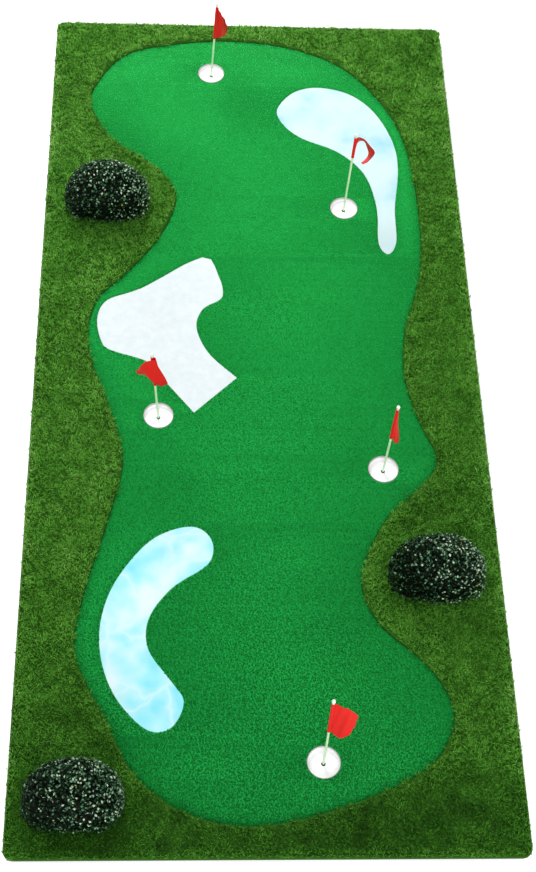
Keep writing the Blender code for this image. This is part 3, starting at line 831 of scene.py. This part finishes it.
def build_inlays():
    for name, slot in (("water_far", "water"), ("water_near", "water"), ("bunker", "sand")):
        node = name + "_inlay"
        low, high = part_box(node)
        mesh = plate(node + "_felt", [smooth_loop(top_loops(node)[0])], low[2], high[2], INLAY_ROUNDING)
        add_piece(mesh.name, mesh, "mat", MATERIALS[name], [node])


def build_pads():
    for part in ("front", "middle", "back"):
        node = f"base_pad_{part}"
        low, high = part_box(node)
        mesh = plate(node + "_foam", top_loops(node), low[2], high[2], PAD_ROUNDING)
        add_piece(mesh.name, mesh, "mat", MATERIALS["foam"], [node])


# ---------------- turned pieces

def fillet(profile, radius, steps=4):
    """The profile with each inner corner rounded, by as much as its neighbours leave room for."""
    made = [np.array(profile[0], float)]
    for before, corner, after in zip(profile, profile[1:], profile[2:]):
        before, corner, after = (np.array(spot, float) for spot in (before, corner, after))
        back, ahead = before - corner, after - corner
        reach = min(radius, 0.45 * np.linalg.norm(back), 0.45 * np.linalg.norm(ahead))
        start = corner + back / np.linalg.norm(back) * reach
        end = corner + ahead / np.linalg.norm(ahead) * reach
        for step in range(steps + 1):
            t = step / steps
            made.append(start * (1 - t) ** 2 + corner * 2 * t * (1 - t) + end * t ** 2)
    made.append(np.array(profile[-1], float))
    return made


def lathe(name, profile, sides, matrix=None):
    """A turned mesh about local Z, from a profile of (radius, height) that runs down its outer side."""
    shape = bmesh.new()
    verts = [shape.verts.new((spot[0], 0.0, spot[1])) for spot in profile]
    edges = [shape.edges.new(pair) for pair in zip(verts, verts[1:])]
    bmesh.ops.spin(shape, geom=verts + edges, axis=(0, 0, 1), cent=(0, 0, 0), angle=2.0 * math.pi, steps=sides,
                   use_merge=True)
    bmesh.ops.remove_doubles(shape, verts=shape.verts, dist=0.000002)
    bmesh.ops.recalc_face_normals(shape, faces=shape.faces)
    mesh = bpy.data.meshes.new(name)
    shape.to_mesh(mesh)
    shape.free()
    if matrix:
        mesh.transform(matrix)
    mesh.shade_smooth()
    mesh.set_sharp_from_angle(angle=SHARP_EDGE)
    return mesh


def joint_of(name):
    return next(joint for joint in frame["joints"] if joint["name"] == name)


def stick_matrix(number):
    """From the stick's own heights to the mat, along its leaning axis."""
    hinge = joint_of(f"pennant_{number}_turn")
    turn = Vector((0.0, 0.0, 1.0)).rotation_difference(Vector(hinge["axis"]))
    return Matrix.Translation(hinge["pos_m"]) @ turn.to_matrix().to_4x4()


def build_cup(number):
    """The cup's moulding, and the grommet in its socket that the stick stands in."""
    low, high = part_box(f"cup_{number}")
    middle = (Vector(low) + Vector(high)) / 2.0
    place = Matrix.Translation((middle.x, middle.y, 0.0))
    outer, rim = (high[0] - low[0]) / 2.0, high[2]
    inner = outer - CUP_WALL
    turned = fillet([
        (CUP_SOCKET_RADIUS, CUP_SOCKET_Z + 0.0005), (CUP_SOCKET_RADIUS, CUP_FLOOR_Z),
        (inner - CUP_DRAFT, CUP_FLOOR_Z), (inner, rim), (outer, rim), (outer, 0.0),
    ], CUP_FILLET, 5)
    profile = [(0.0, CUP_SOCKET_Z), (CUP_SOCKET_RADIUS, CUP_SOCKET_Z)] + turned + [
        (inner, 0.0), (inner, CUP_UNDER_Z), (CUP_BOSS_RADIUS, CUP_UNDER_Z), (CUP_BOSS_RADIUS, CUP_BOSS_FOOT_Z),
        (0.0, CUP_BOSS_FOOT_Z),
    ]
    mesh = lathe(f"cup_{number}_moulding", profile, 96, place)
    add_piece(mesh.name, mesh, "mat", MATERIALS["cup"], [f"cup_{number}"])
    mesh = lathe(f"grommet_{number}_ring", fillet(GROMMET_OUTLINE, 0.0006, 3), 40, place)
    add_piece(mesh.name, mesh, "mat", MATERIALS["rubber"], [f"grommet_{number}"])


def build_stick(number):
    """The stick's pole, knob and metal tip."""
    matrix = stick_matrix(number)
    for node, ending, outline, radius, steps, sides, material, slot in STICK_PARTS:
        name = f"{node}_{number}_{ending}"
        mesh = lathe(name, fillet(outline, radius, steps), sides, matrix)
        add_piece(name, mesh, f"stick_{number}", MATERIALS[material], [f"{node}_{number}"])


# ---------------- pennants

def build_pennant(number):
    """A cloth of two hems: its edge wraps the pole as a sleeve, and the rest hangs in its folds."""
    marks = np.array(PENNANTS[number - 1])
    hoist = -marks[0, 1, 2]
    marks = np.concatenate([2.0 * marks[:1] - marks[1:2], marks, 2.0 * marks[-1:] - marks[-2:-1]])
    columns = []
    for index in range(1, len(marks) - 2):
        for step in range(CLOTH_STEPS):
            columns.append(spline_point(*marks[index - 1:index + 3], step / CLOTH_STEPS))
    columns.append(marks[-2])
    wrap = []
    for step in range(SLEEVE_STEPS):
        turn = SLEEVE_START + (2.0 * math.pi - SLEEVE_START) * step / SLEEVE_STEPS
        spot = [SLEEVE_RADIUS * math.cos(turn), SLEEVE_RADIUS * math.sin(turn)]
        wrap.append(np.array([[*spot, 0.0], [*spot, -hoist]]))
    columns = np.array(wrap + columns)
    share = np.linspace(0.0, 1.0, CLOTH_ROWS)[:, None, None]
    grid = columns[None, :, 0] * (1.0 - share) + columns[None, :, 1] * share
    along = np.clip((np.arange(grid.shape[1]) - SLEEVE_STEPS) / (grid.shape[1] - SLEEVE_STEPS - 1), 0.0, 1.0)
    wave = np.sin(along * 19.0 + share[:, :, 0] * 5.0 + number)
    ripple = RIPPLE_HEIGHT * wave * np.minimum(1.0, along * 3.0)
    edge_x = np.gradient(grid, axis=1)
    edge_z = np.gradient(grid, axis=0)
    normal = np.cross(edge_x, edge_z)
    normal /= np.linalg.norm(normal, axis=2)[:, :, None] + 1e-9
    grid = grid + normal * ripple[:, :, None]
    grid[:, :, 2] += SLEEVE_TOP
    height, width = grid.shape[:2]
    ids = np.arange(height * width).reshape(height, width)
    faces = np.stack([ids[:-1, :-1], ids[1:, :-1], ids[1:, 1:], ids[:-1, 1:]], axis=2).reshape(-1, 4)
    name = f"pennant_{number}_cloth"
    mesh = bpy.data.meshes.new(name)
    mesh.from_pydata(grid.reshape(-1, 3).tolist(), [], faces.tolist())
    sleeve = 2.0 * math.pi * SLEEVE_RADIUS
    u = np.tile(np.linspace(0.0, CLOTH_LENGTH + sleeve, width), (height, 1))
    v = np.tile(np.linspace(HOIST, 0.0, height)[:, None], (1, width))
    corners = np.array([loop.vertex_index for loop in mesh.loops])
    uv = np.column_stack([u.ravel(), v.ravel()])[corners].astype(np.float32)
    mesh.uv_layers.new(name="weave").data.foreach_set("uv", uv.ravel())
    mesh.transform(stick_matrix(number))
    mesh.shade_smooth()
    body = f"pennant_{number}"
    cloth = add_piece(name, mesh, body, MATERIALS["cloth"], [body])
    thickness = cloth.modifiers.new("thickness", "SOLIDIFY")
    thickness.thickness = CLOTH_THICKNESS
    thickness.offset = 0.0


# ---------------- bushes

def leaf_points(centre, along, across, up, length, width):
    """A folded leaf with some thickness: base, two sides, tip, a sunk midrib above and a keel below."""
    half = (width * 0.5)[:, None]
    size = length[:, None]
    return np.stack([
        centre - along * size * 0.5,
        centre + across * half + up * half * 0.35,
        centre + along * size * 0.5 - up * size * 0.10,
        centre - across * half + up * half * 0.35,
        centre + up * size * 0.02,
        centre - up * size * 0.05,
    ], axis=1)


def near_side(turn):
    """How far the foliage spreads each way: squarer on its near side, where its foot is flat."""
    square = (np.abs(np.cos(turn)) ** FOOT_POWER + np.abs(np.sin(turn)) ** FOOT_POWER) ** (-1.0 / FOOT_POWER)
    return np.where(np.sin(turn) < 0.0, square, 1.0)


def dome_width(rise):
    """How wide the dome is at a height, both as shares of its size."""
    return np.clip(1.0 - np.abs(rise) ** DOME_POWER, 0.0, 1.0) ** (1.0 / DOME_POWER)


def build_bush(number, rng):
    """A dome of small leaves: pale ones outside, partly their own colour and partly painted highlight, made paler
    to the right and at the top by painted light, and dark ones deeper in as painted shade in the gaps between them.
    """
    node = f"bush_{number}_foliage"
    low, high = Vector(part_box(node)[0]), Vector(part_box(node)[1])
    middle = (low + high) / 2.0
    radii = np.array([(high.x - low.x) / 2.0, (high.y - low.y) / 2.0, high.z - low.z - BUSH_SKIRT])
    radii[:2] *= BUSH_SPREAD[number - 1]
    centre = np.array([middle.x, middle.y, low.z + BUSH_SKIRT])
    count = BUSH_LEAVES
    turn = rng.uniform(0.0, 2.0 * math.pi, count)
    rise = rng.uniform(-0.30, 1.0, count)
    flat = np.where(rise > 0.0, dome_width(rise), 1.0 + 0.06 * rise) * near_side(turn)
    way = np.stack([np.cos(turn) * flat, np.sin(turn) * flat, rise], axis=1)
    lumps = 0.07 * (noise(way[:, 0], way[:, 1], 0.55, 40 + number) - 0.5)
    depth = np.clip(1.0 - np.abs(rng.normal(0.0, 0.075, count)), 0.78, 1.0)
    spots = centre + way * radii * np.minimum(depth + lumps, 1.02)[:, None]
    spots[:, 2] = np.maximum(spots[:, 2], low.z + 0.003)
    outward = way / radii
    outward /= np.linalg.norm(outward, axis=1)[:, None]
    up = outward + rng.normal(0.0, 0.50, (count, 3))
    up /= np.linalg.norm(up, axis=1)[:, None]
    along = np.cross(up, rng.normal(0.0, 1.0, (count, 3)))
    along /= np.linalg.norm(along, axis=1)[:, None]
    length = rng.uniform(*LEAF_LENGTH, count)
    width = length * rng.uniform(*LEAF_WIDTH_SHARE, count)
    points = leaf_points(spots, along, np.cross(up, along), up, length, width)
    # Painted light: leaves to the right and towards the top get paler tones.
    painted_light = 0.5 + 0.5 * np.cos(turn - 0.3) * flat + 0.15 * rise
    # Painted shade: leaves deeper in the dome get darker tones.
    outer = np.clip((depth - 0.88) / 0.09, 0.0, 1.0)
    tone = outer * (0.03 + 0.84 * rng.beta(1.0, 1.35, count) + 0.34 * (painted_light - 0.42))
    tone = np.where(rng.random(count) < 0.0015, 0.95, np.clip(tone, 0.0, 0.87))
    first = (np.arange(count) * 6)[:, None]
    shapes = []
    # Painted shade from the root ramp: each leaf is darker at its base and on its underside.
    for a, b, foot, head in ((0, 1, 0.1, 0.6), (1, 2, 0.6, 1.0), (2, 3, 1.0, 0.6), (3, 0, 0.6, 0.1)):
        shapes.append((first + np.array([b, a, 4]), tone_uv(tone, LEAF_TONES, (-1, 1, 0), (head, foot, 0.7))))
        shapes.append((first + np.array([a, b, 5]), tone_uv(tone, LEAF_TONES, (-1, 1, 0), (foot, head, 0.3))))
    soup = Soup()
    soup.add(points.reshape(-1, 3), shapes)
    add_twigs(soup, centre, radii, rng)
    add_painted_shade_core(soup, centre, radii, low.z)
    name = f"bush_{number}_leaves"
    add_piece(name, soup.mesh(name), f"bush_{number}", MATERIALS["leaves"], [node])


def add_twigs(soup, centre, radii, rng):
    """Thin twigs that point outward, in the outer part of the bush."""
    count = BUSH_TWIGS
    turn = rng.uniform(0.0, 2.0 * math.pi, count)
    rise = rng.uniform(0.0, 1.0, count)
    flat = np.sqrt(1.0 - rise ** 2)
    way = np.stack([np.cos(turn) * flat, np.sin(turn) * flat, rise], axis=1)
    start = centre + way * radii * 0.55
    end = centre + way * radii * 0.95
    along = end - start
    length = np.linalg.norm(along, axis=1)
    along /= length[:, None]
    heading = np.arctan2(along[:, 1], along[:, 0])
    lean = np.arccos(np.clip(along[:, 2], -1.0, 1.0))
    add_spikes(soup, start, heading, lean, length, np.full(count, TWIG_WIDTH), np.full(count, 0.2), LEAF_TONES)


def add_painted_shade_core(soup, centre, radii, floor):
    """A dark shell inside the bush: painted shade that stands in for the shadow among the leaves."""
    rings, sides = 9, 28
    points = []
    for ring in range(rings):
        rise = math.radians(90.0) * ring / rings
        for side in range(sides):
            turn = 2.0 * math.pi * side / sides
            size = 0.83 + 0.04 * math.sin(7.0 * turn + ring) + 0.03 * math.cos(5.0 * turn - 2.0 * ring)
            flat = near_side(turn) * dome_width(math.sin(rise))
            way = np.array([math.cos(turn) * flat, math.sin(turn) * flat, math.sin(rise)])
            points.append(centre + radii * size * way)
    points.append(centre + radii * np.array([0.0, 0.0, 0.80]))
    base = [np.array([spot[0], spot[1], floor + 0.001]) for spot in points[:sides]]
    points += base + [np.array([centre[0], centre[1], floor + 0.001])]
    quads, tris = [], []
    top = rings * sides
    for side in range(sides):
        after = (side + 1) % sides
        for ring in range(0, top - sides, sides):
            quads.append([ring + side, ring + after, ring + sides + after, ring + sides + side])
        tris.append([top - sides + side, top - sides + after, top])
        quads.append([top + 1 + side, top + 1 + after, after, side])
        tris.append([top + 1 + after, top + 1 + side, top + 1 + sides])
    quads, tris = np.array(quads), np.array(tris)
    soup.add(np.array(points), [
        (quads, tone_uv(np.full(len(quads), 0.05), LEAF_TONES, (-1, 1, 1, -1), (0.1, 0.1, 0.2, 0.2))),
        (tris, tone_uv(np.full(len(tris), 0.05), LEAF_TONES, (-1, 1, 0), (0.1, 0.1, 0.2))),
    ])


# ---------------- surroundings

def build_stage():
    """A plain pale floor that glows a little, as a studio's backdrop does."""
    bpy.ops.mesh.primitive_plane_add(size=FLOOR_SIZE, location=(0.0, 0.0, 0.0))
    floor = bpy.context.object
    floor.name = "floor"
    paint = speckled("floor_paint", (0.90, 0.90, 0.90), (0.93, 0.93, 0.93), 3.0, 0.9, 0.0, 0.1)
    shader = paint.node_tree.nodes["Principled BSDF"]
    shader.inputs["Emission Color"].default_value = (1.0, 1.0, 1.0, 1.0)
    shader.inputs["Emission Strength"].default_value = FLOOR_GLOW
    floor.data.materials.append(paint)


def add_light(name, spot, aim, size, power):
    lamp = bpy.data.lights.new(name, "AREA")
    lamp.shape = "DISK"
    lamp.size = size
    lamp.energy = power
    light = bpy.data.objects.new(name, lamp)
    light.location = spot
    light.rotation_euler = (Vector(aim) - Vector(spot)).to_track_quat("-Z", "Y").to_euler()
    bpy.context.scene.collection.objects.link(light)


def build_light():
    scene = bpy.context.scene
    scene.view_settings.view_transform = "Standard"
    world = bpy.data.worlds.new("studio")
    scene.world = world
    world.use_nodes = True
    world.node_tree.nodes["Background"].inputs["Color"].default_value = (1.0, 1.0, 1.0, 1.0)
    world.node_tree.nodes["Background"].inputs["Strength"].default_value = WORLD_STRENGTH
    for name, (spot, aim, size, power) in LAMPS.items():
        add_light(name, spot, aim, size, power)


def build_camera():
    lens = bpy.data.cameras.new("camera")
    lens.sensor_width = 36.0
    lens.lens = CAMERA_LENS
    lens.shift_x = CAMERA_SHIFT
    lens.clip_end = FLOOR_SIZE
    camera = bpy.data.objects.new("camera", lens)
    place = Matrix.Translation(CAMERA_PLACE)
    for angle, axis in CAMERA_TURNS:
        place = place @ Matrix.Rotation(math.radians(angle), 4, axis)
    camera.matrix_world = place
    bpy.context.scene.collection.objects.link(camera)
    bpy.context.scene.camera = camera


# ---------------- the scene

MATERIALS = {
    # The tuple after each palette holds its painted shade factors from root to tip.
    "green_turf": palette_material("green_pile", GREEN_TONES, (0.70, 0.93, 1.05), 0.80, 0.06),
    "rough_turf": palette_material("rough_pile", ROUGH_TONES, (0.32, 0.86, 1.22), 0.75, 0.06),
    "leaves": palette_material("bush_leaves", LEAF_TONES, (0.45, 0.90, 1.15), 0.60, 0.10),
    "water_far": water_material("water_far_print", [
        (0.28, (0.30, 0.58, 0.66)), (0.40, (0.46, 0.66, 0.69)), (0.54, PALE_WATER)], 0.13, 0.30),
    "water_near": water_material("water_near_print", [
        (0.32, (0.20, 0.68, 0.79)), (0.50, (0.36, 0.76, 0.81)), (0.72, (0.66, 0.81, 0.83))], 0.11, 0.60),
    "bunker": speckled("bunker_felt", (0.59, 0.66, 0.68), (0.66, 0.72, 0.74), 40.0, 0.75, 0.0004, 0.2),
    "foam": speckled("foam_black", (0.010, 0.011, 0.010), (0.030, 0.032, 0.030), 700.0, 0.9, 0.0008, 0.2),
    "tape": speckled("seam_tape_weave", (0.22, 0.22, 0.20), (0.34, 0.34, 0.32), 300.0, 0.6, 0.0002),
    "backing": speckled("turf_backing", (0.030, 0.036, 0.028), (0.070, 0.076, 0.062), 400.0, 0.85, 0.0004),
    "cup": cup_material(),
    "rubber": speckled("grommet_rubber", (0.012, 0.012, 0.013), (0.030, 0.030, 0.032), 200.0, 0.6, 0.0001),
    # The green tint of the pole's white fibreglass is a painted reflection of the green turf.
    "pole": speckled("pole_fibreglass_painted_reflection", (0.48, 0.78, 0.43), (0.68, 0.90, 0.61), 60.0, 0.28, 0.0),
    "knob": speckled("knob_plastic", (0.72, 0.76, 0.68), (0.84, 0.86, 0.80), 60.0, 0.35, 0.0),
    "metal": speckled("ferrule_metal", (0.38, 0.39, 0.41), (0.52, 0.53, 0.55), 300.0, 0.32, 0.0, 0.5, 1.0),
    "cloth": cloth_material("pennant_cloth", DARK_RED, RED),
    "bush_plastic": speckled("bush_plate_plastic", (0.012, 0.036, 0.014), (0.020, 0.055, 0.022), 90.0, 0.5, 0.0002),
}

# CAD nodes that stay as they are, by the material that they get.
KEPT_NODES = {
    "tape": ["seam_tape"],
    "backing": ["putting_backing", "water_far_backing", "water_near_backing", "bunker_backing",
                "rough_backing_far", "rough_backing_near", "rough_backing_left", "rough_backing_right"],
    "bush_plastic": [f"bush_{n}_{part}" for n in BUSHES for part in ("plate", "stake")],
}


def main():
    rng = np.random.default_rng(2026)
    build_camera()
    for side in ("far", "left", "right", "near"):
        build_rough(side, rng)
    build_green(rng)
    build_inlays()
    build_pads()
    for number in STICKS:
        build_cup(number)
        build_stick(number)
        build_pennant(number)
    for number in BUSHES:
        build_bush(number, rng)
    for key, nodes in KEPT_NODES.items():
        for node in nodes:
            frame["nodes"][node].data.materials.clear()
            frame["nodes"][node].data.materials.append(MATERIALS[key])
    build_stage()
    build_light()


main()
